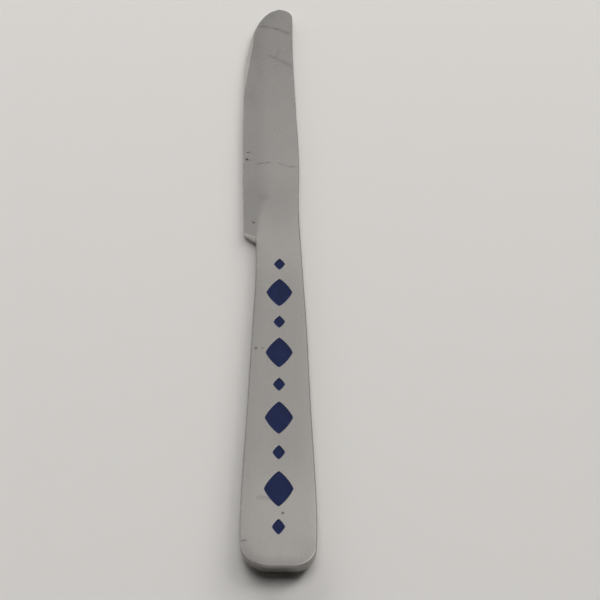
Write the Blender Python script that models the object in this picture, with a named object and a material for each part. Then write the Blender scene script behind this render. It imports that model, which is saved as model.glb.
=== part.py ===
"""A dinner knife: a wedge-ground blade brazed into a solid, tapered handle with a row of enamel inlays.

Metres, +Z up. The knife lies on its side on Z = 0, with its tip towards +Y and its cutting edge towards -X.
Outlines are written in the knife's own plan: y runs from the butt end to the tip, and x is measured from
the handle's centre line.
"""

import math

import bmesh
import bpy
from mathutils import Vector

# Lengths along the knife, from the butt end
KNIFE_LENGTH = 0.2170
JOINT_Y = 0.1020
SCOOP_Y = 0.1050
SCOOP_SHARP_Y = 0.1046
HEEL_Y = 0.1086
TIP_SWEEP_Y = 0.1805

# Plan outline as (y, x) points that a smooth line passes through
HANDLE_REACH = 0.00912
BLADE_REACH = 0.01142
SPINE_SIDE = (
    (0.000, 0.00865), (0.014, HANDLE_REACH), (0.048, 0.00804), (0.073, 0.00736), (0.095, 0.00642),
    (0.118, 0.00559), (0.139, 0.00579), (0.1655, 0.00495), (0.1907, 0.00415), (0.213, 0.00408),
)
HANDLE_EDGE_SIDE = (
    (0.000, -0.00865), (0.014, -HANDLE_REACH), (0.045, -0.00812), (0.070, -0.00730), (0.090, -0.00665),
    (SCOOP_Y, -0.00665),
)
BLADE_EDGE_SIDE = ((HEEL_Y, -0.01015), (0.131, -0.01085), (0.157, -0.01140), (TIP_SWEEP_Y, -BLADE_REACH))
SCOOP_RADIUS = 0.0014
SCOOP_TURN = math.radians(50)
TIP_CENTRE_X = -0.0008
TIP_CORNER_RADIUS = 0.0045

# Butt corners: on the cutting-edge side, and squarer on the spine side
EDGE_CORNER_RADIUS = 0.0066
SPINE_CORNER_RADIUS = 0.0054

# Handle section: crisp round the upper face, well rounded underneath
BUTT_THICKNESS = 0.0050
NECK_THICKNESS = 0.0036
TOP_EDGE_RADIUS = 0.00035
UNDER_EDGE_RADIUS = 0.0026
PILLOW_DROP = 0.00015
PILLOW_WIDTH = 0.0035

# Blade section: a flat along the spine, thinner beyond the neck, and a grind that falls to the cutting
# edge; its mid plane comes down towards the table, as the tapered handle's does
SPINE_AT_HEEL = 0.0024
SPINE_AT_TIP = 0.0016
SPINE_RADIUS = 0.0003
TIP_DROP = 0.00075
TIP_DROP_POWER = 1.5
THINNING_START_Y = 0.1060
THINNING_END_Y = 0.1340
GRIND_EDGE_THICKNESS = 0.0009
GRIND_HEEL_X = -0.0066
GRIND_SETTLED_Y = 0.1300
GRIND_SHARE = 0.36
GRIND_HEEL_EASE = 0.20
GRIND_EASE = 0.45
FINE_RADIUS = 0.0001

# Narrow bevel on the cutting edge, widest where the sweep to the tip starts
BEVEL_WIDTH = 0.0012
BEVEL_DROP = 0.0003
BEVEL_START_Y = 0.1700
BEVEL_FULL_Y = 0.1887
BEVEL_FADE_Y = 0.1955
BEVEL_END_Y = 0.2060

# Brazed joint: a stub tang in a socket, with the braze metal between them
CLEARANCE = 0.00005
BRAZE_GAP = 0.0003
TANG_WIDTH = 0.0070
TANG_THICKNESS = 0.0014
TANG_LENGTH = 0.0200
TANG_ROOT = 0.0015

# Row of inlays, small and large by turns
INLAY_COUNT = 9
INLAY_FIRST_Y = 0.0106
INLAY_PITCH = 0.0106
LARGE_INLAY = (0.0070, 0.0100)
SMALL_INLAY = (0.0030, 0.0042)
INLAY_OUTLINE_POWER = 1.25
INLAY_OUTLINE_POINTS = 40
POCKET_DEPTH = 0.0005
ENAMEL_RECESS = 0.00015
CUTTER_OVERSHOOT = 0.0010

# Mesh density
COLUMNS = 16
CORNER_STEPS = 9
HANDLE_STEPS = 12
SCOOP_STEPS = 7
BLADE_STEPS = 16
TIP_STEPS = 12
SHARP_ANGLE = math.radians(30)
WELD_DISTANCE = 1e-6
SLOPE_STEP = 1e-5

ACROSS = [(1 - math.cos(math.pi * i / COLUMNS)) / 2 for i in range(COLUMNS + 1)]
TANG_MID_Z = NECK_THICKNESS / 2
SOCKET_WIDTH = TANG_WIDTH + 2 * BRAZE_GAP
SOCKET_THICKNESS = TANG_THICKNESS + 2 * BRAZE_GAP

STEEL = ((0.40, 0.388, 0.376), 0.30, 1.0)
ENAMEL = ((0.012, 0.018, 0.055), 0.35, 0.0)
BRAZE = ((0.78, 0.66, 0.42), 0.45, 1.0)


def smooth_step(t):
    """Ease from 0 to 1 as t goes from 0 to 1."""
    t = min(max(t, 0.0), 1.0)
    return t * t * (3 - 2 * t)


def mix(start, end, share):
    return start + (end - start) * share


def line_through(points, y):
    """x at y on a smooth line through (y, x) points."""
    last = len(points) - 1
    i = 0
    while i < last - 1 and y > points[i + 1][0]:
        i += 1

    def slope(k):
        before, after = points[max(k - 1, 0)], points[min(k + 1, last)]
        return (after[1] - before[1]) / (after[0] - before[0])

    (y0, x0), (y1, x1) = points[i], points[i + 1]
    span = y1 - y0
    t = (y - y0) / span
    start = x0 * (1 + 2 * t) + span * slope(i) * t
    end = x1 * (3 - 2 * t) + span * slope(i + 1) * (t - 1)
    return start * (1 - t) ** 2 + end * t * t


def butt_inset(y, radius):
    """How far a round butt corner draws a side in at y."""
    short = max(radius - y, 0.0)
    return radius - math.sqrt(radius ** 2 - short ** 2)


def handle_left(y):
    return line_through(HANDLE_EDGE_SIDE, y) + butt_inset(y, EDGE_CORNER_RADIUS)


def handle_right(y):
    return line_through(SPINE_SIDE, y) - butt_inset(y, SPINE_CORNER_RADIUS)


def edge_line(y):
    """Cutting-edge side as it would be without the scoop: long edge, then the sweep to the tip."""
    if y <= TIP_SWEEP_Y:
        return line_through(BLADE_EDGE_SIDE, max(y, HEEL_Y))
    along = min((y - TIP_SWEEP_Y) / (KNIFE_LENGTH - TIP_SWEEP_Y), 1.0)
    return mix(TIP_CENTRE_X, -BLADE_REACH, math.sqrt(1 - along ** 2))


def blade_left(y):
    """Cutting-edge side: neck, concave scoop up to the heel corner, then the edge."""
    neck = HANDLE_EDGE_SIDE[-1][1]
    arc_end_y = SCOOP_Y + SCOOP_RADIUS * math.sin(SCOOP_TURN)
    arc_end_x = neck - SCOOP_RADIUS * (1 - math.cos(SCOOP_TURN))
    if y <= SCOOP_Y:
        return neck
    if y <= arc_end_y:
        return neck - SCOOP_RADIUS + math.sqrt(SCOOP_RADIUS ** 2 - (y - SCOOP_Y) ** 2)
    if y <= HEEL_Y:
        return mix(arc_end_x, edge_line(HEEL_Y), (y - arc_end_y) / (HEEL_Y - arc_end_y))
    return edge_line(y)


def blade_right(y):
    """Spine side, with the round corner at the tip."""
    corner_y = KNIFE_LENGTH - TIP_CORNER_RADIUS
    past = min(max(y - corner_y, 0.0), TIP_CORNER_RADIUS)
    inset = TIP_CORNER_RADIUS - math.sqrt(TIP_CORNER_RADIUS ** 2 - past ** 2)
    return line_through(SPINE_SIDE, min(y, corner_y)) - inset


def round_over(distance, radius):
    """How far a face has fallen at this distance from an edge rounded with this radius."""
    inside = min(max(radius - distance, 0.0), radius)
    return radius - math.sqrt(radius ** 2 - inside ** 2)


def pillow(distance):
    """Slight fall of the handle's faces towards their edges."""
    return PILLOW_DROP * max(1 - distance / PILLOW_WIDTH, 0.0) ** 2


def handle_thickness(y):
    return mix(NECK_THICKNESS, BUTT_THICKNESS, (1 - y / JOINT_Y) ** 2)


def face_tilt(y):
    """Angle at which the handle's upper face falls towards the neck."""
    return math.atan2(2 * (NECK_THICKNESS - BUTT_THICKNESS) * (1 - y / JOINT_Y), JOINT_Y)


def corner_distance(side, y, radius):
    """Distance to the outline at a round butt corner, from the distances to the side and to the butt."""
    if y >= radius:
        return side
    if side >= radius:
        return y
    return max(radius - math.hypot(radius - side, radius - y), 0.0)


def handle_edge_distance(x, y):
    """Distance from a point in plan to the handle's outline, round the butt as well as at the sides."""
    from_edge = corner_distance(x - line_through(HANDLE_EDGE_SIDE, y), y, EDGE_CORNER_RADIUS)
    from_spine = corner_distance(line_through(SPINE_SIDE, y) - x, y, SPINE_CORNER_RADIUS)
    return min(from_edge, from_spine)


def handle_heights(x, y):
    """Lowest and highest Z of the handle at a point in plan."""
    distance = handle_edge_distance(x, y)
    low = round_over(distance, UNDER_EDGE_RADIUS)
    high = handle_thickness(y) - round_over(distance, TOP_EDGE_RADIUS) - pillow(distance)
    return low, high


def square_distance(side, x, y):
    """Distance from a point in plan to a side of the blade, measured square to that side."""
    slope = (side(y + SLOPE_STEP) - side(y - SLOPE_STEP)) / (2 * SLOPE_STEP)
    return abs(x - side(y)) / math.hypot(1, slope)


def bevel_width(y):
    growing = smooth_step((y - BEVEL_START_Y) / (BEVEL_FULL_Y - BEVEL_START_Y))
    fading = smooth_step((y - BEVEL_FADE_Y) / (BEVEL_END_Y - BEVEL_FADE_Y))
    return BEVEL_WIDTH * growing * (1 - fading)


def grind_fall(x, y):
    """Share of the grind's fall at a point: 1 at the cutting edge, straight at first, 0 on the flat."""
    edge = edge_line(y)
    settled = smooth_step((y - HEEL_Y) / (GRIND_SETTLED_Y - HEEL_Y))
    reach = mix(GRIND_HEEL_X - edge, GRIND_SHARE * (blade_right(y) - edge), settled)
    ease = reach * mix(GRIND_HEEL_EASE, GRIND_EASE, settled)
    from_edge = x - edge
    if from_edge < reach - ease:
        return 1 - from_edge / reach
    t = min((from_edge - reach + ease) / (2 * ease), 1.0)
    return 2 * ease * (0.5 - t + t ** 3 - t ** 4 / 2) / reach


def blade_mid(y):
    """Height of the blade's mid plane."""
    along = max(y - JOINT_Y, 0.0) / (KNIFE_LENGTH - JOINT_Y)
    return TANG_MID_Z - TIP_DROP * along ** TIP_DROP_POWER


def blade_heights(x, y):
    """Lowest and highest Z of the blade: the handle's section at the joint, easing into the grind."""
    from_edge = square_distance(blade_left, x, y)
    from_spine = square_distance(blade_right, x, y)
    past_scoop = smooth_step((y - JOINT_Y) / (HEEL_Y - JOINT_Y))
    sharp = smooth_step((y - JOINT_Y) / (SCOOP_SHARP_Y - JOINT_Y))
    thinned = smooth_step((y - THINNING_START_Y) / (THINNING_END_Y - THINNING_START_Y))

    along = max(y - HEEL_Y, 0.0) / (KNIFE_LENGTH - HEEL_Y)
    flat = mix(NECK_THICKNESS, mix(SPINE_AT_HEEL, SPINE_AT_TIP, along), thinned) / 2
    half = flat - (flat - GRIND_EDGE_THICKNESS / 2) * grind_fall(x, y) * past_scoop
    half -= BEVEL_DROP * max(bevel_width(y) - from_edge, 0.0) / BEVEL_WIDTH

    def rounding(neck_radius, fined):
        edge = round_over(from_edge, mix(neck_radius, FINE_RADIUS, fined))
        return max(edge, round_over(from_spine, mix(neck_radius, SPINE_RADIUS, thinned)))

    fall = max(pillow(from_edge) * (1 - past_scoop), pillow(from_spine) * (1 - thinned))
    low = blade_mid(y) - half + rounding(UNDER_EDGE_RADIUS, past_scoop)
    high = blade_mid(y) + half - rounding(TOP_EDGE_RADIUS, sharp) - fall
    return low, high


def spaced(start, end, steps):
    return [start + (end - start) * i / steps for i in range(steps)]


def handle_stations():
    """Stations along the handle, close together round the butt corner."""
    turns = [math.pi / 2 * i / CORNER_STEPS for i in range(CORNER_STEPS)]
    corner = [EDGE_CORNER_RADIUS * (1 - math.cos(turn)) for turn in turns]
    front = JOINT_Y - CLEARANCE
    return corner + spaced(EDGE_CORNER_RADIUS, front, HANDLE_STEPS) + [front]


def blade_stations():
    """Stations along the blade, close together at the scoop and round the tip."""
    sweep = KNIFE_LENGTH - TIP_SWEEP_Y
    tip = [TIP_SWEEP_Y + sweep * math.sin(math.pi / 2 * i / TIP_STEPS) for i in range(TIP_STEPS + 1)]
    scoop = [JOINT_Y] + spaced(SCOOP_Y, HEEL_Y, SCOOP_STEPS)
    return scoop + spaced(HEEL_Y, TIP_SWEEP_Y, BLADE_STEPS) + tip


def collection(name):
    group = bpy.data.collections.new(name)
    bpy.context.scene.collection.children.link(group)
    return group


def material_from(name, finish):
    """Principled material from a colour, a roughness and a metallic value."""
    colour, roughness, metallic = finish
    material = bpy.data.materials.new(name)
    material.use_nodes = True
    shader = material.node_tree.nodes["Principled BSDF"]
    shader.inputs["Base Color"].default_value = (*colour, 1.0)
    shader.inputs["Roughness"].default_value = roughness
    shader.inputs["Metallic"].default_value = metallic
    return material


def place(mesh, name, group, finish=None):
    """Object for a mesh, in a collection and on the knife's frame."""
    piece = bpy.data.objects.new(name, mesh)
    group.objects.link(piece)
    piece.parent = knife_frame
    if finish is None:
        piece.hide_render = True
        piece.display_type = "WIRE"
    else:
        mesh.materials.append(material_from(name, finish))
    return piece


def loft(name, stations, left_at, right_at, heights_at):
    """Closed skin over sections across the knife, one at each station."""
    bm = bmesh.new()
    rings = []
    for y in stations:
        left, right = left_at(y), right_at(y)
        columns = [left + (right - left) * u for u in ACROSS]
        heights = [heights_at(x, y) for x in columns]
        top = [bm.verts.new((x, y, high)) for x, (low, high) in zip(columns, heights)]
        bottom = [bm.verts.new((x, y, low)) for x, (low, high) in zip(columns, heights)]
        rings.append((top, bottom))

    for (top, bottom), (next_top, next_bottom) in zip(rings, rings[1:]):
        ring = top + bottom[::-1]
        next_ring = next_top + next_bottom[::-1]
        for i in range(len(ring)):
            j = (i + 1) % len(ring)
            bm.faces.new((ring[i], ring[j], next_ring[j], next_ring[i]))
    for top, bottom in (rings[0], rings[-1]):
        for i in range(COLUMNS):
            bm.faces.new((top[i], top[i + 1], bottom[i + 1], bottom[i]))

    bmesh.ops.triangulate(bm, faces=bm.faces)
    bmesh.ops.recalc_face_normals(bm, faces=bm.faces)
    mesh = bpy.data.meshes.new(name)
    bm.to_mesh(mesh)
    bm.free()
    mesh.shade_smooth()
    mesh.set_sharp_from_angle(angle=SHARP_ANGLE)
    return mesh


def block(name, width, thickness, back, front):
    """Box on the tang's mid plane, between two distances from the butt."""
    bm = bmesh.new()
    bmesh.ops.create_cube(bm, size=1.0)
    bmesh.ops.scale(bm, vec=(width, front - back, thickness), verts=bm.verts)
    bmesh.ops.translate(bm, vec=(0, (back + front) / 2, TANG_MID_Z), verts=bm.verts)
    mesh = bpy.data.meshes.new(name)
    bm.to_mesh(mesh)
    bm.free()
    return mesh


def lozenge(name, width, length, low, high, y, group, finish=None):
    """Soft-cornered lozenge on the handle's upper face, from low to high above that face."""
    curve = bpy.data.curves.new(name, "CURVE")
    curve.dimensions = "2D"
    curve.fill_mode = "BOTH"
    curve.extrude = (high - low) / 2
    spline = curve.splines.new("POLY")
    spline.points.add(INLAY_OUTLINE_POINTS - 1)
    for i, point in enumerate(spline.points):
        turn = 2 * math.pi * i / INLAY_OUTLINE_POINTS
        x = math.copysign(abs(math.cos(turn)) ** (2 / INLAY_OUTLINE_POWER), math.cos(turn))
        along = math.copysign(abs(math.sin(turn)) ** (2 / INLAY_OUTLINE_POWER), math.sin(turn))
        point.co = (x * width / 2, along * length / 2, 0, 1)
    spline.use_cyclic_u = True

    drawing = bpy.data.objects.new(name + "_drawing", curve)
    group.objects.link(drawing)
    bpy.context.view_layer.update()
    evaluated = drawing.evaluated_get(bpy.context.evaluated_depsgraph_get())
    mesh = bpy.data.meshes.new_from_object(evaluated)
    bpy.data.objects.remove(drawing)
    bm = bmesh.new()
    bm.from_mesh(mesh)
    bmesh.ops.remove_doubles(bm, verts=bm.verts, dist=WELD_DISTANCE)
    bmesh.ops.recalc_face_normals(bm, faces=bm.faces)
    bm.to_mesh(mesh)
    bm.free()

    piece = place(mesh, name, group, finish)
    tilt = face_tilt(y)
    face_normal = Vector((0, -math.sin(tilt), math.cos(tilt)))
    piece.location = Vector((0, y, handle_thickness(y))) + face_normal * (low + high) / 2
    piece.rotation_euler.x = tilt
    return piece


def combine(target, other, operation):
    modifier = target.modifiers.new(other.name, "BOOLEAN")
    modifier.operation = operation
    modifier.object = other


def make_blade():
    skin = loft("blade", blade_stations(), blade_left, blade_right, blade_heights)
    blade = place(skin, "blade", parts, STEEL)
    tang = block("tang_shape", TANG_WIDTH, TANG_THICKNESS, JOINT_Y - TANG_LENGTH, JOINT_Y + TANG_ROOT)
    combine(blade, place(tang, "tang_shape", cutters), "UNION")


def make_handle():
    skin = loft("handle", handle_stations(), handle_left, handle_right, handle_heights)
    handle = place(skin, "handle", parts, STEEL)
    back = JOINT_Y - TANG_LENGTH - BRAZE_GAP
    socket = block("socket_shape", SOCKET_WIDTH, SOCKET_THICKNESS, back, JOINT_Y + CUTTER_OVERSHOOT)
    combine(handle, place(socket, "socket_shape", cutters), "DIFFERENCE")
    return handle


def make_braze():
    """Thin cup of braze metal that fills the socket round the tang."""
    gap = 2 * CLEARANCE
    back = JOINT_Y - TANG_LENGTH - BRAZE_GAP + CLEARANCE
    filling = block("tang_braze", SOCKET_WIDTH - gap, SOCKET_THICKNESS - gap, back, JOINT_Y - CLEARANCE)
    braze = place(filling, "tang_braze", parts, BRAZE)
    tang_back = JOINT_Y - TANG_LENGTH - CLEARANCE
    room = block("tang_room", TANG_WIDTH + gap, TANG_THICKNESS + gap, tang_back, JOINT_Y + CUTTER_OVERSHOOT)
    combine(braze, place(room, "tang_room", cutters), "DIFFERENCE")


def make_inlays(handle):
    """Row of enamel inlays, each in its own shallow pocket."""
    for i in range(INLAY_COUNT):
        size_name, (width, length) = ("large", LARGE_INLAY) if i % 2 else ("small", SMALL_INLAY)
        number = i // 2 + 1
        y = INLAY_FIRST_Y + i * INLAY_PITCH
        pocket_name = f"pocket_{size_name}_{number}"
        pocket = lozenge(pocket_name, width, length, -POCKET_DEPTH, CUTTER_OVERSHOOT, y, cutters)
        combine(handle, pocket, "DIFFERENCE")

        gap = 2 * CLEARANCE
        inlay_name = f"inlay_{size_name}_{number}"
        bottom = -POCKET_DEPTH + CLEARANCE
        lozenge(inlay_name, width - gap, length - gap, bottom, -ENAMEL_RECESS, y, parts, ENAMEL)


for old in list(bpy.data.objects):
    bpy.data.objects.remove(old)

parts = collection("dinner_knife")
cutters = collection("cutters")
knife_frame = bpy.data.objects.new("knife_frame", None)
knife_frame.location = ((BLADE_REACH - HANDLE_REACH) / 2, -KNIFE_LENGTH / 2, 0)
parts.objects.link(knife_frame)

make_blade()
make_braze()
make_inlays(make_handle())
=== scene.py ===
"""Looks of the dinner knife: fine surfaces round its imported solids, materials, floor, light and camera."""

import math

import bmesh
import bpy
from mathutils import Matrix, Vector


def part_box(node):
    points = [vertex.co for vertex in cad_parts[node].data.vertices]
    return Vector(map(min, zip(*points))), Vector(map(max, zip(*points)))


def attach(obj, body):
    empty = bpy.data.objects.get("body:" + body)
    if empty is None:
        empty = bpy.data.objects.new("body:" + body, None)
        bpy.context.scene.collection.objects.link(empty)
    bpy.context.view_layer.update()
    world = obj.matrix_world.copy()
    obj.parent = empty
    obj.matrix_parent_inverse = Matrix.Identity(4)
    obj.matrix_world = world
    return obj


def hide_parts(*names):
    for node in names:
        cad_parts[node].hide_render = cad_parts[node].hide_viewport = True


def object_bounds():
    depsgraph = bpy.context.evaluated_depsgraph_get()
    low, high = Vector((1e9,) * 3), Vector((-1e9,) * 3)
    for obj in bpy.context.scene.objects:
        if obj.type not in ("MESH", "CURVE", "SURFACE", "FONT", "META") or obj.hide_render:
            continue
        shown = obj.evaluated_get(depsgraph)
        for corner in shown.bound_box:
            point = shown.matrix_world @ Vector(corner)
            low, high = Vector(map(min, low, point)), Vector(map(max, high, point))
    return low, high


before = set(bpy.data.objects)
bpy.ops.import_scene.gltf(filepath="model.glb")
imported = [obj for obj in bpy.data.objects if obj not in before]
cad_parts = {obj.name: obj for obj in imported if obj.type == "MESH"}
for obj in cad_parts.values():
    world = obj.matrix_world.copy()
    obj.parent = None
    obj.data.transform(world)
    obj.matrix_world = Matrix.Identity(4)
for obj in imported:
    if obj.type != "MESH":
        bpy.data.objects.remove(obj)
cad_low, cad_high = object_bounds()

# Where the knife's own plan lies in the frame: y runs from the butt end, x from the handle's middle
HANDLE_LOW, HANDLE_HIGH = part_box("handle")
CENTRE_X = (HANDLE_LOW.x + HANDLE_HIGH.x) / 2
BUTT_Y = HANDLE_LOW.y

# Lengths along the knife, as in the part's source
KNIFE_LENGTH = cad_high.y - cad_low.y
JOINT_Y = 0.1020
SCOOP_Y = 0.1050
SCOOP_SHARP_Y = 0.1046
HEEL_Y = 0.1086
TIP_SWEEP_Y = 0.1805

# Plan outline as (y, x) points that a smooth line passes through
HANDLE_REACH = 0.00912
BLADE_REACH = 0.01142
SPINE_SIDE = (
    (0.000, 0.00865), (0.014, HANDLE_REACH), (0.048, 0.00804), (0.073, 0.00736), (0.095, 0.00642),
    (0.118, 0.00559), (0.139, 0.00579), (0.1655, 0.00495), (0.1907, 0.00415), (0.213, 0.00408),
)
HANDLE_EDGE_SIDE = (
    (0.000, -0.00865), (0.014, -HANDLE_REACH), (0.045, -0.00812), (0.070, -0.00730), (0.090, -0.00665),
    (SCOOP_Y, -0.00665),
)
BLADE_EDGE_SIDE = ((HEEL_Y, -0.01015), (0.131, -0.01085), (0.157, -0.01140), (TIP_SWEEP_Y, -BLADE_REACH))
SCOOP_RADIUS = 0.0014
SCOOP_TURN = math.radians(50)
TIP_CENTRE_X = -0.0008
TIP_CORNER_RADIUS = 0.0045

# Butt corners: on the cutting-edge side, and squarer on the spine side
EDGE_CORNER_RADIUS = 0.0066
SPINE_CORNER_RADIUS = 0.0054

# Handle section: crisp round the upper face, well rounded underneath
BUTT_THICKNESS = 0.0050
NECK_THICKNESS = 0.0036
TOP_EDGE_RADIUS = 0.00035
UNDER_EDGE_RADIUS = 0.0026
PILLOW_DROP = 0.00015
PILLOW_WIDTH = 0.0035

# Blade section: a flat along the spine, thinner beyond the neck, and a grind that falls to the cutting
# edge; its mid plane comes down towards the table, as the tapered handle's does
SPINE_AT_HEEL = 0.0024
SPINE_AT_TIP = 0.0016
SPINE_RADIUS = 0.0003
TIP_DROP = 0.00075
TIP_DROP_POWER = 1.5
THINNING_START_Y = 0.1060
THINNING_END_Y = 0.1340
GRIND_EDGE_THICKNESS = 0.0009
GRIND_HEEL_X = -0.0066
GRIND_SETTLED_Y = 0.1300
GRIND_SHARE = 0.36
GRIND_HEEL_EASE = 0.20
GRIND_EASE = 0.45
FINE_RADIUS = 0.0001

# Narrow bevel on the cutting edge, widest where the sweep to the tip starts
BEVEL_WIDTH = 0.0012
BEVEL_DROP = 0.0003
BEVEL_START_Y = 0.1700
BEVEL_FULL_Y = 0.1887
BEVEL_FADE_Y = 0.1955
BEVEL_END_Y = 0.2060

# Brazed joint
BRAZE_GAP = 0.0003
TANG_WIDTH = 0.0070
TANG_THICKNESS = 0.0014
TANG_LENGTH = 0.0200
TANG_ROOT = 0.0015
TANG_MID_Z = NECK_THICKNESS / 2
CUTTER_OVERSHOOT = 0.0010

# Row of inlays, small and large by turns
INLAY_COUNT = 9
INLAY_FIRST_Y = 0.0106
INLAY_PITCH = 0.0106
LARGE_INLAY = (0.0070, 0.0100)
SMALL_INLAY = (0.0030, 0.0042)
INLAY_OUTLINE_POWER = 1.25
POCKET_DEPTH = 0.0005
RIM_SOFTNESS = 0.00010
ENAMEL_RECESS = 0.00016
ENAMEL_MENISCUS = 0.00006
MENISCUS_SPREAD = 6
ENAMEL_CLEARANCE = 0.000005

# Mesh density
COLUMNS = 40
COLUMN_CROWDING = 1.4
CORNER_STEPS = 14
CELL_STEPS = 24
CELL_RINGS = 8
CELL_CROWDING = 1.5
ROUND_STEPS = 8
RIM_STEPS = 4
ENAMEL_RINGS = (0.75, 0.5, 0.25)
END_STEPS = 4
BLADE_COLUMNS = 26
ROUNDED_SHARE = 0.4
NECK_STEPS = 8
SCOOP_STEPS = 28
BLADE_STEPS = 80
TIP_STEPS = 40
SHARP_ANGLE = math.radians(40)
EDGE_ZONE = 0.0006
RIM_LINE = 1.25
TOP_RIM_INSET = RIM_LINE * TOP_EDGE_RADIUS
UNDER_RIM_INSET = RIM_LINE * UNDER_EDGE_RADIUS
QUARTER_TURNS = [math.pi / 2 * i / ROUND_STEPS for i in range(ROUND_STEPS + 1)]

# Small steps for slopes and for comparing places
SLOPE_STEP = 1e-5
FINE_STEP = 1e-6

# Finish of the steel: worn along its outline; painted shade darkens it towards the rim of the butt
WEAR_WIDTH = 0.0006
PAINTED_SHADE_WIDTH = 0.0040
PAINTED_SHADE_LENGTH = 0.0100


def smooth_step(t):
    """Ease from 0 to 1 as t goes from 0 to 1."""
    t = min(max(t, 0.0), 1.0)
    return t * t * (3 - 2 * t)


def mix(start, end, share):
    return start + (end - start) * share


def line_through(points, y):
    """x at y on a smooth line through (y, x) points."""
    last = len(points) - 1
    i = 0
    while i < last - 1 and y > points[i + 1][0]:
        i += 1

    def slope(k):
        before, after = points[max(k - 1, 0)], points[min(k + 1, last)]
        return (after[1] - before[1]) / (after[0] - before[0])

    (y0, x0), (y1, x1) = points[i], points[i + 1]
    span = y1 - y0
    t = (y - y0) / span
    start = x0 * (1 + 2 * t) + span * slope(i) * t
    end = x1 * (3 - 2 * t) + span * slope(i + 1) * (t - 1)
    return start * (1 - t) ** 2 + end * t * t


def round_over(distance, radius):
    """How far a face has fallen at this distance from an edge rounded with this radius."""
    inside = min(max(radius - distance, 0.0), radius)
    return radius - math.sqrt(radius ** 2 - inside ** 2)


def pillow(distance):
    """Slight fall of the handle's faces towards their edges."""
    return PILLOW_DROP * max(1 - distance / PILLOW_WIDTH, 0.0) ** 2


def spaced(start, end, steps):
    return [start + (end - start) * i / steps for i in range(steps)]


# Handle surface


def handle_thickness(y):
    return mix(NECK_THICKNESS, BUTT_THICKNESS, (1 - y / JOINT_Y) ** 2)


def corner_distance(side, y, radius):
    """Distance to the outline at a round butt corner, from the distances to the side and to the butt."""
    if y >= radius:
        return side
    if side >= radius:
        return y
    return max(radius - math.hypot(radius - side, radius - y), 0.0)


def handle_edge_distance(x, y):
    """Distance from a point in plan to the handle's outline, round the butt as well as at the sides."""
    from_edge = corner_distance(x - line_through(HANDLE_EDGE_SIDE, y), y, EDGE_CORNER_RADIUS)
    from_spine = corner_distance(line_through(SPINE_SIDE, y) - x, y, SPINE_CORNER_RADIUS)
    return min(from_edge, from_spine)


def handle_top(x, y):
    distance = handle_edge_distance(x, y)
    return handle_thickness(y) - round_over(distance, TOP_EDGE_RADIUS) - pillow(distance)


def rim_place(station, inset, radius):
    """Distances to the side and to the butt of the line at this inset, where the outline is at station."""
    turn = max(radius - station, 0.0) / radius
    return radius - (radius - inset) * math.sqrt(1 - turn ** 2), station + inset * turn


def rim_ends(station, inset):
    """Left and right points of the line that runs round the handle at this inset."""
    from_edge, left_y = rim_place(station, inset, EDGE_CORNER_RADIUS)
    from_spine, right_y = rim_place(station, inset, SPINE_CORNER_RADIUS)
    left = (line_through(HANDLE_EDGE_SIDE, left_y) + from_edge, left_y)
    right = (line_through(SPINE_SIDE, right_y) - from_spine, right_y)
    return left, right


def crossing(station, inset):
    """Points across the handle at this inset, from left to right and closest near the middle."""
    left, right = rim_ends(station, inset)
    points = []
    for i in range(COLUMNS + 1):
        v = 2 * i / COLUMNS - 1
        u = 0.5 + 0.5 * math.copysign(abs(v) ** COLUMN_CROWDING, v)
        points.append((mix(left[0], right[0], u), mix(left[1], right[1], u)))
    return points


def inlay_row():
    """Name, middle, half width and half length of each inlay, from the butt."""
    for i in range(INLAY_COUNT):
        size_name, (width, length) = ("large", LARGE_INLAY) if i % 2 else ("small", SMALL_INLAY)
        yield f"{size_name}_{i // 2 + 1}", INLAY_FIRST_Y + i * INLAY_PITCH, width / 2, length / 2


def inlay_edge(x, y, half_width, half_length):
    """1 on the inlay's outline, less inside and more outside, for a point measured from its middle."""
    power = INLAY_OUTLINE_POWER
    return (abs(x / half_width) ** power + abs(y / half_length) ** power) ** (1 / power)


# Blade surface


def edge_line(y):
    """Cutting-edge side as it would be without the scoop: long edge, then the sweep to the tip."""
    if y <= TIP_SWEEP_Y:
        return line_through(BLADE_EDGE_SIDE, max(y, HEEL_Y))
    along = min((y - TIP_SWEEP_Y) / (KNIFE_LENGTH - TIP_SWEEP_Y), 1.0)
    return mix(TIP_CENTRE_X, -BLADE_REACH, math.sqrt(1 - along ** 2))


def blade_left(y):
    """Cutting-edge side: neck, concave scoop up to the heel corner, then the edge."""
    neck = HANDLE_EDGE_SIDE[-1][1]
    arc_end_y = SCOOP_Y + SCOOP_RADIUS * math.sin(SCOOP_TURN)
    arc_end_x = neck - SCOOP_RADIUS * (1 - math.cos(SCOOP_TURN))
    if y <= SCOOP_Y:
        return neck
    if y <= arc_end_y:
        return neck - SCOOP_RADIUS + math.sqrt(SCOOP_RADIUS ** 2 - (y - SCOOP_Y) ** 2)
    if y <= HEEL_Y:
        return mix(arc_end_x, edge_line(HEEL_Y), (y - arc_end_y) / (HEEL_Y - arc_end_y))
    return edge_line(y)


def blade_right(y):
    """Spine side, with the round corner at the tip."""
    corner_y = KNIFE_LENGTH - TIP_CORNER_RADIUS
    past = min(max(y - corner_y, 0.0), TIP_CORNER_RADIUS)
    inset = TIP_CORNER_RADIUS - math.sqrt(TIP_CORNER_RADIUS ** 2 - past ** 2)
    return line_through(SPINE_SIDE, min(y, corner_y)) - inset


def side_slope(side, y):
    return (side(y + SLOPE_STEP) - side(y - SLOPE_STEP)) / (2 * SLOPE_STEP)


def square_distance(side, x, y):
    """Distance from a point in plan to a side of the blade, measured square to that side."""
    return abs(x - side(y)) / math.hypot(1, side_slope(side, y))


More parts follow.
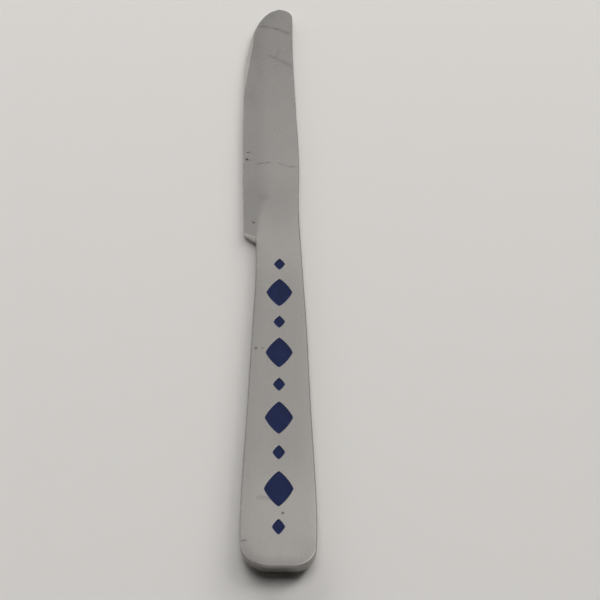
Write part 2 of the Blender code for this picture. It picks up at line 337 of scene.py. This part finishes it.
def bevel_width(y):
    growing = smooth_step((y - BEVEL_START_Y) / (BEVEL_FULL_Y - BEVEL_START_Y))
    fading = smooth_step((y - BEVEL_FADE_Y) / (BEVEL_END_Y - BEVEL_FADE_Y))
    return BEVEL_WIDTH * growing * (1 - fading)


def grind_fall(x, y):
    """Share of the grind's fall at a point: 1 at the cutting edge, straight at first, 0 on the flat."""
    edge = edge_line(y)
    settled = smooth_step((y - HEEL_Y) / (GRIND_SETTLED_Y - HEEL_Y))
    reach = mix(GRIND_HEEL_X - edge, GRIND_SHARE * (blade_right(y) - edge), settled)
    ease = reach * mix(GRIND_HEEL_EASE, GRIND_EASE, settled)
    from_edge = x - edge
    if from_edge < reach - ease:
        return 1 - from_edge / reach
    t = min((from_edge - reach + ease) / (2 * ease), 1.0)
    return 2 * ease * (0.5 - t + t ** 3 - t ** 4 / 2) / reach


def blade_mid(y):
    """Height of the blade's mid plane."""
    along = max(y - JOINT_Y, 0.0) / (KNIFE_LENGTH - JOINT_Y)
    return TANG_MID_Z - TIP_DROP * along ** TIP_DROP_POWER


def blade_heights(x, y):
    """Lowest and highest Z of the blade: the handle's section at the joint, easing into the grind."""
    from_edge = square_distance(blade_left, x, y)
    from_spine = square_distance(blade_right, x, y)
    past_scoop = smooth_step((y - JOINT_Y) / (HEEL_Y - JOINT_Y))
    sharp = smooth_step((y - JOINT_Y) / (SCOOP_SHARP_Y - JOINT_Y))
    thinned = smooth_step((y - THINNING_START_Y) / (THINNING_END_Y - THINNING_START_Y))

    along = max(y - HEEL_Y, 0.0) / (KNIFE_LENGTH - HEEL_Y)
    flat = mix(NECK_THICKNESS, mix(SPINE_AT_HEEL, SPINE_AT_TIP, along), thinned) / 2
    half = flat - (flat - GRIND_EDGE_THICKNESS / 2) * grind_fall(x, y) * past_scoop
    half -= BEVEL_DROP * max(bevel_width(y) - from_edge, 0.0) / BEVEL_WIDTH

    def rounding(neck_radius, fined):
        edge = round_over(from_edge, mix(neck_radius, FINE_RADIUS, fined))
        return max(edge, round_over(from_spine, mix(neck_radius, SPINE_RADIUS, thinned)))

    fall = max(pillow(from_edge) * (1 - past_scoop), pillow(from_spine) * (1 - thinned))
    low = blade_mid(y) - half + rounding(UNDER_EDGE_RADIUS, past_scoop)
    high = blade_mid(y) + half - rounding(TOP_EDGE_RADIUS, sharp) - fall
    return low, high


def blade_columns(y):
    """x places across the blade, close together at the edge, on the bevel and round the spine."""
    left, right = blade_left(y), blade_right(y)
    room = ROUNDED_SHARE * (right - left)
    past_scoop = smooth_step((y - JOINT_Y) / (HEEL_Y - JOINT_Y))
    thinned = smooth_step((y - THINNING_START_Y) / (THINNING_END_Y - THINNING_START_Y))
    slant = math.hypot(1, side_slope(blade_left, y))
    bevel = max(bevel_width(y) * slant, EDGE_ZONE)
    edge_width = min(mix(UNDER_EDGE_RADIUS, bevel, past_scoop), room)
    spine_width = min(mix(UNDER_EDGE_RADIUS, EDGE_ZONE, thinned), room)
    near_edge = [left + edge_width * (1 - math.cos(turn)) for turn in QUARTER_TURNS]
    near_spine = [right - spine_width * (1 - math.cos(turn)) for turn in reversed(QUARTER_TURNS)]
    start, width = near_edge[-1], near_spine[0] - near_edge[-1]
    turns = [math.pi * i / BLADE_COLUMNS for i in range(1, BLADE_COLUMNS)]
    middle = [start + width * (1 - math.cos(turn)) / 2 for turn in turns]
    return near_edge + middle + near_spine


def blade_stations():
    """Stations along the blade, close together at the scoop and round the tip."""
    sweep = KNIFE_LENGTH - TIP_SWEEP_Y
    tip = [TIP_SWEEP_Y + sweep * math.sin(math.pi / 2 * i / TIP_STEPS) for i in range(TIP_STEPS + 1)]
    scoop = spaced(JOINT_Y, SCOOP_Y, NECK_STEPS) + spaced(SCOOP_Y, HEEL_Y, SCOOP_STEPS)
    return scoop + spaced(HEEL_Y, TIP_SWEEP_Y, BLADE_STEPS) + tip


# Meshes


def add_points(bm, points):
    return [bm.verts.new(point) for point in points]


def join_rows(bm, row, next_row, closed=False):
    """Quads between two rows of points."""
    count = len(row) if closed else len(row) - 1
    for i in range(count):
        j = (i + 1) % len(row)
        bm.faces.new((row[i], row[j], next_row[j], next_row[i]))


def close_to_point(bm, ring, point):
    """Fan of triangles from a ring to a point."""
    middle = bm.verts.new(point)
    for i, vertex in enumerate(ring):
        bm.faces.new((vertex, ring[(i + 1) % len(ring)], middle))


def piece_from(bm, name, material):
    """Object from a mesh in the knife's plan, set in the frame and riding on the knife."""
    bmesh.ops.translate(bm, vec=(CENTRE_X, BUTT_Y, 0), verts=bm.verts)
    bmesh.ops.recalc_face_normals(bm, faces=bm.faces)
    mesh = bpy.data.meshes.new(name)
    bm.to_mesh(mesh)
    bm.free()
    mesh.shade_smooth()
    mesh.set_sharp_from_angle(angle=SHARP_ANGLE)
    mesh.materials.append(material)
    piece = bpy.data.objects.new(name, mesh)
    bpy.context.scene.collection.objects.link(piece)
    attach(piece, "root")
    return piece


def combine_with_block(piece, width, thickness, back, front, operation):
    """Join a box on the tang's mid plane to a piece, or cut it out, for good."""
    bm = bmesh.new()
    bmesh.ops.create_cube(bm, size=1.0)
    bmesh.ops.scale(bm, vec=(width, front - back, thickness), verts=bm.verts)
    bmesh.ops.translate(bm, vec=(CENTRE_X, BUTT_Y + (back + front) / 2, TANG_MID_Z), verts=bm.verts)
    mesh = bpy.data.meshes.new("block")
    bm.to_mesh(mesh)
    bm.free()
    block = bpy.data.objects.new("block", mesh)
    bpy.context.scene.collection.objects.link(block)

    modifier = piece.modifiers.new("block", "BOOLEAN")
    modifier.operation = operation
    modifier.object = block
    bpy.context.view_layer.update()
    evaluated = piece.evaluated_get(bpy.context.evaluated_depsgraph_get())
    combined = bpy.data.meshes.new_from_object(evaluated)
    piece.modifiers.remove(modifier)
    piece.data = combined
    bpy.data.objects.remove(block)


def write_attribute(piece, name, value_at):
    """Value at each vertex of a piece, from its place in the knife's plan, for its material to read."""
    attribute = piece.data.attributes.new(name, "FLOAT", "POINT")
    for vertex, item in zip(piece.data.vertices, attribute.data):
        item.value = value_at(vertex.co.x - CENTRE_X, vertex.co.y - BUTT_Y)


def pocket_cell(bm, outline, middle_y, half_width, half_length):
    """Handle's face from a cell's outline in to its pocket, then the pocket's soft rim, wall and floor."""
    rim = RIM_SOFTNESS / half_width
    outer_scale = 1 + 2 * rim
    arcs = [math.pi / 2 * i / RIM_STEPS for i in range(RIM_STEPS + 1)]
    rings = [(1 + rim * (1 - math.sin(arc)), RIM_SOFTNESS * (1 - math.cos(arc))) for arc in arcs]
    rings = [(outer_scale, 0.0)] + rings + [(1.0, POCKET_DEPTH)]

    def ring_at(scales, depth):
        points = []
        for vertex, scale in zip(outline, scales):
            x, y = vertex.co.x * scale, middle_y + (vertex.co.y - middle_y) * scale
            points.append((x, y, handle_top(x, y) - depth))
        return add_points(bm, points)

    edges = [1 / inlay_edge(v.co.x, v.co.y - middle_y, half_width, half_length) for v in outline]
    ring = outline
    for i in range(1, CELL_RINGS):
        inward = 1 - (1 - i / CELL_RINGS) ** CELL_CROWDING
        next_ring = ring_at([1 + (edge * outer_scale - 1) * inward for edge in edges], 0.0)
        join_rows(bm, ring, next_ring, closed=True)
        ring = next_ring
    for scale, depth in rings:
        next_ring = ring_at([edge * scale for edge in edges], depth)
        join_rows(bm, ring, next_ring, closed=True)
        ring = next_ring
    close_to_point(bm, ring, (0, middle_y, handle_top(0, middle_y) - POCKET_DEPTH))


def handle_stations():
    """Stations along the handle's outline, and the first and last station of each inlay's cell."""
    margin = (INLAY_PITCH - LARGE_INLAY[1] / 2 - SMALL_INLAY[1] / 2) / 2
    turns = [math.pi / 2 * i / CORNER_STEPS for i in range(CORNER_STEPS)]
    stations = [EDGE_CORNER_RADIUS * (1 - math.cos(turn)) for turn in turns] + [EDGE_CORNER_RADIUS]
    cells = []
    for name, middle_y, half_width, half_length in inlay_row():
        start, end = middle_y - half_length - margin, middle_y + half_length + margin
        first = len(stations)
        stations += spaced(start, end, CELL_STEPS)
        cells.append((first, first + CELL_STEPS))
    stations += spaced(end, JOINT_Y, END_STEPS) + [JOINT_Y]
    return stations, cells


def make_handle(material):
    """Handle with pockets in its upper face and a socket for the tang."""
    bm = bmesh.new()
    stations, cells = handle_stations()
    inside_cells = {i for first, last in cells for i in range(first + 1, last)}

    def face_row(i, upper):
        points = crossing(stations[i], TOP_RIM_INSET if upper else UNDER_RIM_INSET)
        if i in inside_cells and upper:
            points = [points[0], points[-1]]
        heights = [handle_top(x, y) if upper else 0.0 for x, y in points]
        return add_points(bm, [(x, y, z) for (x, y), z in zip(points, heights)])

    top = [face_row(i, True) for i in range(len(stations))]
    bottom = [face_row(i, False) for i in range(len(stations))]
    for i in range(len(stations) - 1):
        join_rows(bm, bottom[i], bottom[i + 1])
        if not any(first <= i < last for first, last in cells):
            join_rows(bm, top[i], top[i + 1])
    for (first, last), (name, middle_y, half_width, half_length) in zip(cells, inlay_row()):
        right = [top[i][-1] for i in range(first + 1, last)]
        left = [top[i][0] for i in range(last - 1, first, -1)]
        pocket_cell(bm, top[first] + right + top[last][::-1] + left, middle_y, half_width, half_length)

    def rim_ring(inset, upper):
        lefts, rights = [], []
        for station in stations:
            left, right = rim_ends(station, inset)
            lefts.append(left)
            rights.append(right)
        front = crossing(0.0, inset)[1:-1]
        places = lefts[::-1] + front + rights
        if upper:
            drop = round_over(inset, TOP_EDGE_RADIUS) + pillow(inset)
            return add_points(bm, [(x, y, handle_thickness(y) - drop) for x, y in places])
        return add_points(bm, [(x, y, round_over(inset, UNDER_EDGE_RADIUS)) for x, y in places])

    def rim_of(rows):
        return [row[0] for row in rows[::-1]] + rows[0][1:-1] + [row[-1] for row in rows]

    insets = [1 - math.sin(turn) for turn in QUARTER_TURNS]
    rings = [rim_of(top)] + [rim_ring(TOP_EDGE_RADIUS * inset, True) for inset in insets]
    rings += [rim_ring(UNDER_EDGE_RADIUS * inset, False) for inset in reversed(insets)]
    rings.append(rim_of(bottom))
    for ring, next_ring in zip(rings, rings[1:]):
        join_rows(bm, ring, next_ring)
    down_right = [ring[-1] for ring in rings[1:-1]]
    up_left = [ring[0] for ring in rings[-2:0:-1]]
    bm.faces.new(top[-1] + down_right + bottom[-1][::-1] + up_left)

    handle = piece_from(bm, "handle_satin", material)
    back = JOINT_Y - TANG_LENGTH - BRAZE_GAP
    width, thickness = TANG_WIDTH + 2 * BRAZE_GAP, TANG_THICKNESS + 2 * BRAZE_GAP
    combine_with_block(handle, width, thickness, back, JOINT_Y + CUTTER_OVERSHOOT, "DIFFERENCE")

    def worn(x, y):
        return 1 - smooth_step(handle_edge_distance(x, y) / WEAR_WIDTH)

    # Painted shade: darker steel near the rim of the butt
    def painted_rim_shade(x, y):
        near_rim = 1 - smooth_step(handle_edge_distance(x, y) / PAINTED_SHADE_WIDTH)
        return near_rim * (1 - smooth_step(y / PAINTED_SHADE_LENGTH))

    write_attribute(handle, "worn", worn)
    write_attribute(handle, "painted_rim_shade", painted_rim_shade)
    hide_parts("handle")


def make_blade(material):
    """Blade with its bevel, scoop, shoulder and stub tang."""
    bm = bmesh.new()
    rings = []
    for y in blade_stations():
        columns = blade_columns(y)
        heights = [blade_heights(x, y) for x in columns]
        top = add_points(bm, [(x, y, high) for x, (low, high) in zip(columns, heights)])
        bottom = add_points(bm, [(x, y, low) for x, (low, high) in zip(columns, heights)])
        rings.append((top, bottom))
    for (top, bottom), (next_top, next_bottom) in zip(rings, rings[1:]):
        join_rows(bm, top + bottom[::-1], next_top + next_bottom[::-1], closed=True)
    for top, bottom in (rings[0], rings[-1]):
        join_rows(bm, top, bottom)

    blade = piece_from(bm, "blade_satin", material)
    back, front = JOINT_Y - TANG_LENGTH, JOINT_Y + TANG_ROOT
    combine_with_block(blade, TANG_WIDTH, TANG_THICKNESS, back, front, "UNION")

    def worn(x, y):
        distance = min(square_distance(blade_left, x, y), square_distance(blade_right, x, y))
        return 1 - smooth_step(distance / WEAR_WIDTH)

    def ground(x, y):
        return float(square_distance(blade_left, x, y) < bevel_width(y) + FINE_STEP)

    write_attribute(blade, "worn", worn)
    write_attribute(blade, "ground", ground)
    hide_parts("blade")


def make_enamel(material):
    """Enamel in each pocket, with a meniscus up to the pocket's wall."""
    around = 4 * (COLUMNS // 2)
    turns = [2 * math.pi * i / around for i in range(around)]
    for name, middle_y, half_width, half_length in inlay_row():
        bm = bmesh.new()
        wall = 1 - ENAMEL_CLEARANCE / half_width
        meniscus_width = MENISCUS_SPREAD * ENAMEL_MENISCUS / half_width
        floor = POCKET_DEPTH - ENAMEL_CLEARANCE
        rings = [(wall, floor), (wall, ENAMEL_RECESS - ENAMEL_MENISCUS)]
        for i in range(1, ROUND_STEPS + 1):
            t = i / ROUND_STEPS
            rings.append((wall - meniscus_width * t, ENAMEL_RECESS - ENAMEL_MENISCUS * (1 - t) ** 2))
        rings += [((wall - meniscus_width) * share, ENAMEL_RECESS) for share in ENAMEL_RINGS]

        def ring_at(scale, depth):
            points = []
            for turn in turns:
                x, y = math.cos(turn) * half_width, math.sin(turn) * half_length
                edge = scale / inlay_edge(x, y, half_width, half_length)
                x, y = x * edge, middle_y + y * edge
                points.append((x, y, handle_top(x, y) - depth))
            return add_points(bm, points)

        rows = [ring_at(scale, depth) for scale, depth in rings]
        for row, next_row in zip(rows, rows[1:]):
            join_rows(bm, row, next_row, closed=True)
        close_to_point(bm, rows[-1], (0, middle_y, handle_top(0, middle_y) - ENAMEL_RECESS))
        close_to_point(bm, rows[0], (0, middle_y, handle_top(0, middle_y) - floor))
        enamel = piece_from(bm, f"enamel_{name}", material)
        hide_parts(f"inlay_{name}")


# Materials

STEEL_TONE = (0.379, 0.364, 0.348)
STEEL_ROUGHNESS = 0.28
GROUND_ROUGHNESS = 0.38
WORN_LIGHTNESS = 1.06
GROUND_LIGHTNESS = 1.5
# How dark the painted shade at the butt's rim makes the steel
PAINTED_SHADE_LIGHTNESS = 0.72
ENAMEL_TONE = (0.0078, 0.0150, 0.0610)
ENAMEL_ROUGHNESS = 0.36
ENAMEL_SPECULAR = 0.15
BRAZE_TONE = (0.78, 0.66, 0.42)
BRAZE_ROUGHNESS = 0.45

# Painted light along the knife: steps in the steel's lightness, darker past the butt end and lighter again
# from the neck on, standing in for how much light the steel reflects there, as (start y, end y, change)
PAINTED_LIGHT_STEPS = ((0.0150, 0.0350, 0.92), (0.0820, 0.1020, 1.13))

# Patterns as features per millimetre along x, y and z, and the range that their noise mostly keeps to
STEEL_GRAIN = (7.0, 0.12, 7.0)
STEEL_CLOUD = (0.10, 0.06, 0.10)
STREAK_BREAKS = (0.5, 0.5, 0.5)
ENAMEL_CLOUD = (0.5, 0.5, 0.5)
ENAMEL_GRAIN = (6.0, 6.0, 6.0)
BRAZE_CLOUD = (0.8, 0.4, 0.8)
MILLIMETRES_PER_METRE = 1000
PATTERN_LOW = 0.3
PATTERN_HIGH = 0.7

# How far the marks of use fade, as shares of a streak's reach and of a speck's radius
STREAK_FADE = (0.7, 1.1)
SPECK_FADE = (0.3, 1.4)

# Marks of use on the upper face, in the knife's plan: water streaks as (start, middle, end, width, darkness)
BLADE_STREAKS = (
    ((-0.0080, 0.2078), (-0.0018, 0.2060), (0.0036, 0.2026), 0.0013, 0.36),
    ((-0.0044, 0.1918), (0.0000, 0.1884), (0.0044, 0.1849), 0.0014, 0.22),
    ((-0.0022, 0.1896), (-0.0009, 0.1918), (-0.0004, 0.1946), 0.0012, 0.18),
    ((-0.0072, 0.1374), (-0.0050, 0.1379), (-0.0026, 0.1380), 0.0007, 0.28),
    ((0.0000, 0.1376), (0.0022, 0.1366), (0.0054, 0.1360), 0.0007, 0.28),
)
HANDLE_STREAKS = (
    ((-0.0054, 0.0188), (-0.0034, 0.0185), (-0.0014, 0.0184), 0.0009, 0.25),
    ((-0.0049, 0.0651), (-0.0044, 0.0650), (-0.0040, 0.0650), 0.0003, 0.50),
    ((-0.0086, 0.0068), (-0.0080, 0.0069), (-0.0072, 0.0069), 0.0004, 0.40),
)

# Specks as (x, y, radius, darkness), pale where the darkness is below 0
BLADE_SPECKS = (
    (-0.0094, 0.1432, 0.0003, 0.8), (-0.0100, 0.1432, 0.0003, 0.7), (-0.0100, 0.1400, 0.0005, 0.9),
    (-0.0091, 0.1396, 0.0003, 0.5), (-0.0074, 0.1120, 0.0004, 0.7), (-0.0079, 0.1126, 0.0003, 0.5),
    (-0.0046, 0.1228, 0.0018, 0.10), (-0.0106, 0.1574, 0.0003, -0.6), (-0.0102, 0.1565, 0.0003, -0.5),
)
HANDLE_SPECKS = (
    (-0.0061, 0.0650, 0.0004, 0.6), (0.0055, 0.0685, 0.0004, -0.3), (0.0010, 0.0143, 0.0004, 0.6),
)


def add_node(tree, kind, inputs=(), **settings):
    """Node of a kind, with its settings, and its inputs linked to sockets or set to values."""
    made = tree.nodes.new("ShaderNode" + kind)
    for name, value in settings.items():
        setattr(made, name, value)
    for key, value in dict(inputs).items():
        if isinstance(value, bpy.types.NodeSocket):
            tree.links.new(value, made.inputs[key])
        else:
            made.inputs[key].default_value = value
    return made


def new_material(name):
    material = bpy.data.materials.new(name)
    material.use_nodes = True
    return material, material.node_tree, material.node_tree.nodes["Principled BSDF"]


def combine_values(tree, operation, *values):
    """One value from several, joined two by two with a Math operation."""
    result = values[0]
    for value in values[1:]:
        result = add_node(tree, "Math", {0: result, 1: value}, operation=operation).outputs[0]
    return result


def remap(tree, value, from_low, from_high, to_low, to_high, curve="LINEAR"):
    inputs = {0: value, 1: from_low, 2: from_high, 3: to_low, 4: to_high}
    return add_node(tree, "MapRange", inputs, interpolation_type=curve).outputs[0]


def varied(tree, noise, low, high):
    """Noise spread over a range of values."""
    return remap(tree, noise, PATTERN_LOW, PATTERN_HIGH, low, high)


def tinted(tree, tone, lightness):
    """Tone of a material, lighter or darker from place to place."""
    return add_node(tree, "VectorMath", {0: tone, 3: lightness}, operation="SCALE").outputs[0]


def knife_place(tree):
    """Place on a piece in the knife's own plan and height."""
    place = add_node(tree, "TexCoord").outputs["Object"]
    inputs = {0: place, 1: (CENTRE_X, BUTT_Y, 0.0)}
    return add_node(tree, "VectorMath", inputs, operation="SUBTRACT").outputs[0]


def pattern(tree, place, scale, detail=2.0, roughness=0.5):
    """Noise over the piece, about 0.5 on average, with this many features per millimetre along each axis."""
    stretched = add_node(tree, "Mapping", {0: place, 3: tuple(MILLIMETRES_PER_METRE * s for s in scale)})
    made = add_node(tree, "TexNoise", {0: stretched.outputs[0], 2: 1.0, 3: detail, 4: roughness})
    return made.outputs[0]


def distance_to(tree, place, x, y):
    inputs = {0: place, 1: (x, y, 0.0)}
    return add_node(tree, "VectorMath", inputs, operation="DISTANCE").outputs["Value"]


def circle_through(start, middle, end):
    """Centre and radius of the circle through three places in plan."""
    (ax, ay), (bx, by), (cx, cy) = start, middle, end
    twice_area = 2 * (ax * (by - cy) + bx * (cy - ay) + cx * (ay - by))
    a, b, c = ax ** 2 + ay ** 2, bx ** 2 + by ** 2, cx ** 2 + cy ** 2
    x = (a * (by - cy) + b * (cy - ay) + c * (ay - by)) / twice_area
    y = (a * (cx - bx) + b * (ax - cx) + c * (bx - ax)) / twice_area
    return x, y, math.hypot(ax - x, ay - y)


def marks(tree, place, streaks, specks):
    """How much darker the marks of use make the upper face, place by place."""
    axes = add_node(tree, "SeparateXYZ", {0: place}).outputs
    plan = add_node(tree, "CombineXYZ", {0: axes[0], 1: axes[1]}).outputs[0]
    broken = remap(tree, pattern(tree, plan, STREAK_BREAKS, detail=3.0), 0.35, 0.6, 0.4, 1.0)
    total = 0.0
    for start, middle, end, width, darkness in streaks:
        x, y, radius = circle_through(start, middle, end)
        off_line = combine_values(tree, "SUBTRACT", distance_to(tree, plan, x, y), radius)
        off_line = add_node(tree, "Math", {0: off_line}, operation="ABSOLUTE").outputs[0]
        band = remap(tree, off_line, 0.0, width, darkness, 0.0, "SMOOTHSTEP")
        reach = max(math.dist(start, middle), math.dist(middle, end))
        from_middle = distance_to(tree, plan, *middle)
        fade_start, fade_end = (share * reach for share in STREAK_FADE)
        ends = remap(tree, from_middle, fade_start, fade_end, 1.0, 0.0, "SMOOTHSTEP")
        total = combine_values(tree, "ADD", total, combine_values(tree, "MULTIPLY", band, ends, broken))
    for x, y, radius, darkness in specks:
        fade_start, fade_end = (share * radius for share in SPECK_FADE)
        from_middle = distance_to(tree, plan, x, y)
        spot = remap(tree, from_middle, fade_start, fade_end, darkness, 0.0, "SMOOTHSTEP")
        total = combine_values(tree, "ADD", total, spot)
    normal = add_node(tree, "NewGeometry").outputs["Normal"]
    facing_up = add_node(tree, "SeparateXYZ", {0: normal}).outputs["Z"]
    upper = remap(tree, facing_up, 0.0, 0.5, 0.0, 1.0)
    return combine_values(tree, "MULTIPLY", total, upper)


def steel_material(name, streaks, specks):
    """Satin steel: fine grain, clouds, brighter worn rims and ground bevel, painted shade at the butt's rim.
    """
    material, tree, shader = new_material(name)
    place = knife_place(tree)
    grain = pattern(tree, place, STEEL_GRAIN, detail=3.0)
    cloud = pattern(tree, place, STEEL_CLOUD, detail=3.0, roughness=0.6)
    mark = marks(tree, place, streaks, specks)
    worn = add_node(tree, "Attribute", attribute_name="worn").outputs["Fac"]
    ground = add_node(tree, "Attribute", attribute_name="ground").outputs["Fac"]
    # Painted shade near the rim of the butt
    painted_rim_shade = add_node(tree, "Attribute", attribute_name="painted_rim_shade").outputs["Fac"]
    along = add_node(tree, "SeparateXYZ", {0: place}).outputs["Y"]

    lightness = combine_values(
        tree, "MULTIPLY",
        varied(tree, grain, 0.99, 1.01),
        varied(tree, cloud, 0.96, 1.04),
        remap(tree, mark, 0.0, 1.0, 1.0, 0.0),
        remap(tree, worn, 0.0, 1.0, 1.0, WORN_LIGHTNESS),
        remap(tree, ground, 0.0, 1.0, 1.0, GROUND_LIGHTNESS),
        remap(tree, painted_rim_shade, 0.0, 1.0, 1.0, PAINTED_SHADE_LIGHTNESS),
        # Painted light steps along the knife
        *(remap(tree, along, start, end, 1.0, change, "SMOOTHSTEP") for start, end, change in PAINTED_LIGHT_STEPS),
    )
    tree.links.new(tinted(tree, STEEL_TONE, lightness), shader.inputs["Base Color"])

    rough = combine_values(
        tree, "ADD",
        varied(tree, grain, STEEL_ROUGHNESS - 0.012, STEEL_ROUGHNESS + 0.012),
        varied(tree, cloud, -0.03, 0.03),
        remap(tree, mark, 0.0, 0.5, 0.0, 0.15),
        remap(tree, worn, 0.0, 1.0, 0.0, -0.05),
        remap(tree, ground, 0.0, 1.0, 0.0, GROUND_ROUGHNESS - STEEL_ROUGHNESS),
    )
    tree.links.new(rough, shader.inputs["Roughness"])
    bump = add_node(tree, "Bump", {"Strength": 0.08, "Distance": 0.000003, "Height": grain})
    tree.links.new(bump.outputs[0], shader.inputs["Normal"])
    shader.inputs["Metallic"].default_value = 1.0
    return material


def enamel_material():
    """Dark blue enamel, nearly matte, slightly uneven in depth and gloss."""
    material, tree, shader = new_material("enamel")
    place = knife_place(tree)
    cloud = pattern(tree, place, ENAMEL_CLOUD, detail=3.0)
    fine = pattern(tree, place, ENAMEL_GRAIN, detail=2.0)
    lightness = varied(tree, cloud, 0.8, 1.2)
    tree.links.new(tinted(tree, ENAMEL_TONE, lightness), shader.inputs["Base Color"])
    rough = combine_values(
        tree, "ADD",
        varied(tree, cloud, ENAMEL_ROUGHNESS - 0.04, ENAMEL_ROUGHNESS + 0.04),
        varied(tree, fine, -0.03, 0.03),
    )
    tree.links.new(rough, shader.inputs["Roughness"])
    bump = add_node(tree, "Bump", {"Strength": 0.2, "Distance": 0.000004, "Height": fine})
    tree.links.new(bump.outputs[0], shader.inputs["Normal"])
    shader.inputs["Specular IOR Level"].default_value = ENAMEL_SPECULAR
    return material


def braze_material():
    """Pale yellow filler, clouded where it flowed."""
    material, tree, shader = new_material("braze")
    cloud = pattern(tree, knife_place(tree), BRAZE_CLOUD, detail=4.0)
    lightness = varied(tree, cloud, 0.75, 1.1)
    tree.links.new(tinted(tree, BRAZE_TONE, lightness), shader.inputs["Base Color"])
    rough = varied(tree, cloud, BRAZE_ROUGHNESS - 0.10, BRAZE_ROUGHNESS + 0.10)
    tree.links.new(rough, shader.inputs["Roughness"])
    shader.inputs["Metallic"].default_value = 1.0
    return material


# Stage: floor, light and camera

FLOOR_SIZE = 40.0
FLOOR_TONE = (0.86, 0.838, 0.812)
# Painted light on the floor: darker near the camera and lighter towards the back, where more light falls
FLOOR_NEAR_Y = -0.12
FLOOR_FAR_Y = 0.14
FLOOR_PAINTED_FALLOFF = 0.07
FLOOR_ROUGHNESS = 0.7

# Soft lamps for the floor and the enamel, each given as the turn from +Y towards +X, the height and the
# spread in degrees, and the brightness that it gives a white surface
LAMPS = {
    "low_left": (-60, 12, 40, 0.08),
    "back_left": (-20, 12, 40, 0.62),
    "back_right": (20, 12, 40, 0.27),
    "low_right": (60, 12, 40, 0.14),
    "right": (45, 25, 20, 0.19),
    "high_right": (45, 45, 20, 0.18),
    "top": (0, 70, 40, 0.31),
}

# Surroundings that the steel reflects: an even fill with soft areas of light in it, each given as the turn
# from +Y towards +X, the height, the reach of the core and the whole reach in degrees, and the brightness
SKY_FILL = 0.34
SKY_GLOWS = {
    "back": (22, 58, 22, 29, 0.54),
    "near_left": (-32, 33, 8, 27, 0.24),
    "left": (-84, 36, 5, 36, 1.0),
    "right": (68, 62, 5, 26, 1.5),
    "low_right": (88, 18, 5, 38, 0.5),
    "low_back": (0, 0, 10, 40, 0.22),
    "front_horizon": (180, 0, 10, 45, 0.32),
}
SKY_TINT = (1.0, 0.995, 0.985, 1.0)

CAMERA_PLACE = (CENTRE_X - 0.00024, BUTT_Y - 0.14096, 0.2566)
CAMERA_HEADING = math.radians(-1.5048)
CAMERA_TILT = math.radians(41.4)
CAMERA_ROLL = math.radians(1.38)
CAMERA_LENS = 74.4
CAMERA_NEAR = 0.01


def make_floor():
    bm = bmesh.new()
    bmesh.ops.create_grid(bm, x_segments=1, y_segments=1, size=FLOOR_SIZE / 2)
    mesh = bpy.data.meshes.new("floor")
    bm.to_mesh(mesh)
    bm.free()
    material, tree, shader = new_material("floor")
    position = add_node(tree, "NewGeometry").outputs["Position"]
    along = add_node(tree, "SeparateXYZ", {0: position}).outputs["Y"]
    # Painted light: darker near the camera, lighter towards the back
    lightness = remap(tree, along, FLOOR_NEAR_Y, FLOOR_FAR_Y, 1 - FLOOR_PAINTED_FALLOFF, 1 + FLOOR_PAINTED_FALLOFF)
    tree.links.new(tinted(tree, FLOOR_TONE, lightness), shader.inputs["Base Color"])
    shader.inputs["Roughness"].default_value = FLOOR_ROUGHNESS
    shader.inputs["Specular IOR Level"].default_value = 0.0
    mesh.materials.append(material)
    floor = bpy.data.objects.new("floor", mesh)
    bpy.context.scene.collection.objects.link(floor)


def make_lamp(name, turn, height, spread, brightness):
    """Distant soft lamp that stays out of reflections."""
    data = bpy.data.lights.new(name, "SUN")
    data.angle = spread
    data.energy = math.pi * brightness
    data.color = SKY_TINT[:3]
    lamp = bpy.data.objects.new(name, data)
    bpy.context.scene.collection.objects.link(lamp)
    lamp.matrix_world = Matrix.Rotation(-turn, 4, "Z") @ Matrix.Rotation(height - math.pi / 2, 4, "X")
    lamp.visible_glossy = False


def make_light():
    """Plain soft studio light, mostly from low behind, and dimmer surroundings for the steel to reflect."""
    for name, (*angles, brightness) in LAMPS.items():
        turn, height, spread = (math.radians(angle) for angle in angles)
        make_lamp(name + "_lamp", turn, height, spread, brightness)

    world = bpy.data.worlds.new("studio")
    bpy.context.scene.world = world
    world.cycles_visibility.diffuse = False
    world.use_nodes = True
    tree = world.node_tree
    direction = add_node(tree, "TexCoord").outputs["Generated"]
    brightness = SKY_FILL
    for *angles, strength in SKY_GLOWS.values():
        turn, height, core, reach = (math.radians(angle) for angle in angles)
        axis = (math.sin(turn) * math.cos(height), math.cos(turn) * math.cos(height), math.sin(height))
        inputs = {0: direction, 1: axis}
        nearness = add_node(tree, "VectorMath", inputs, operation="DOT_PRODUCT").outputs["Value"]
        glow = remap(tree, nearness, math.cos(reach), math.cos(core), 0.0, strength, "SMOOTHSTEP")
        brightness = combine_values(tree, "ADD", brightness, glow)
    background = tree.nodes["Background"]
    background.inputs[0].default_value = SKY_TINT
    tree.links.new(brightness, background.inputs[1])


def make_camera():
    data = bpy.data.cameras.new("camera")
    data.lens = CAMERA_LENS
    data.clip_start = CAMERA_NEAR
    camera = bpy.data.objects.new("camera", data)
    bpy.context.scene.collection.objects.link(camera)
    turn = Matrix.Rotation(CAMERA_HEADING, 4, "Z") @ Matrix.Rotation(CAMERA_TILT, 4, "X")
    camera.matrix_world = Matrix.Translation(CAMERA_PLACE) @ turn @ Matrix.Rotation(CAMERA_ROLL, 4, "Z")
    bpy.context.scene.camera = camera


make_handle(steel_material("handle_steel", HANDLE_STREAKS, HANDLE_SPECKS))
make_blade(steel_material("blade_steel", BLADE_STREAKS, BLADE_SPECKS))
make_enamel(enamel_material())
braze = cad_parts["tang_braze"]
braze.data.materials.clear()
braze.data.materials.append(braze_material())

make_floor()
make_light()
make_camera()
bpy.context.scene.view_settings.view_transform = "Standard"
